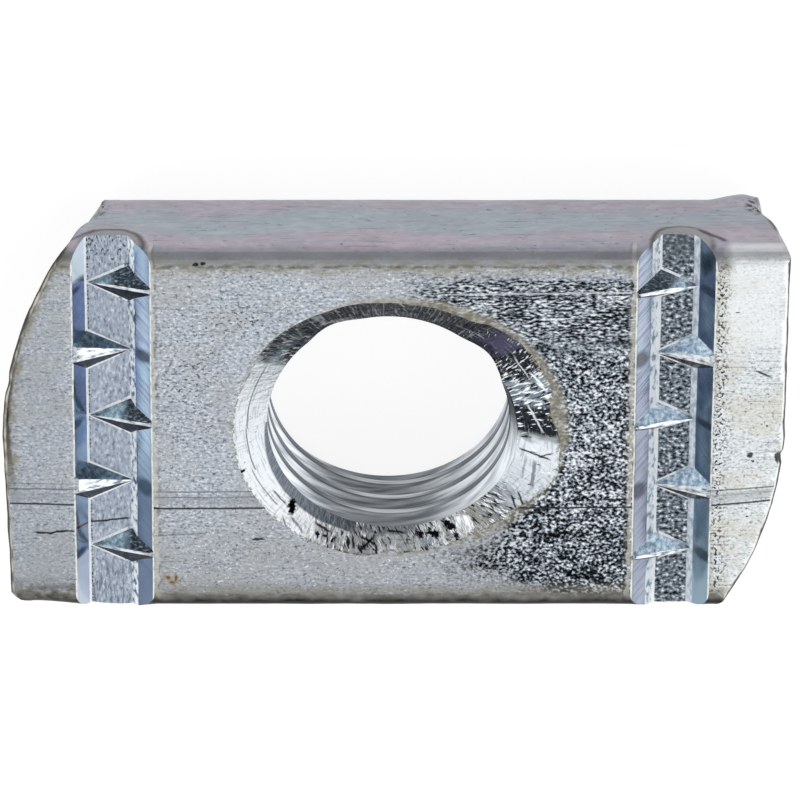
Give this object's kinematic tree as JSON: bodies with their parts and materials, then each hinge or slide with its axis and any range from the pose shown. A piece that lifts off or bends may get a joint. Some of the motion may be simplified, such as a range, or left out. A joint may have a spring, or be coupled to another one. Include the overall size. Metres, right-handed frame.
{
  "type": "channel nut",
  "caption": "Oblong steel nut with a threaded hole and toothed grooves across both ends, which turns inside a slotted channel and grips its lips.",
  "frame": {"origin": "in the plane of the back that the nut lies on, midway along its length and across its width", "axes": "+X along the nut's length, +Y across its width, +Z out of the toothed face, parallel to the threaded hole, which sits 0.18 mm off the middle towards -X"},
  "size_m": [0.0344, 0.0186, 0.006],
  "materials": {
    "zinc_plated_steel": "bright zinc plate over rolled, cropped and stamped steel, with brown residue along the edges and small rust spots"
  },
  "bodies": {
    "root": {"channel_nut": "zinc_plated_steel"}
  },
  "joints": []
}
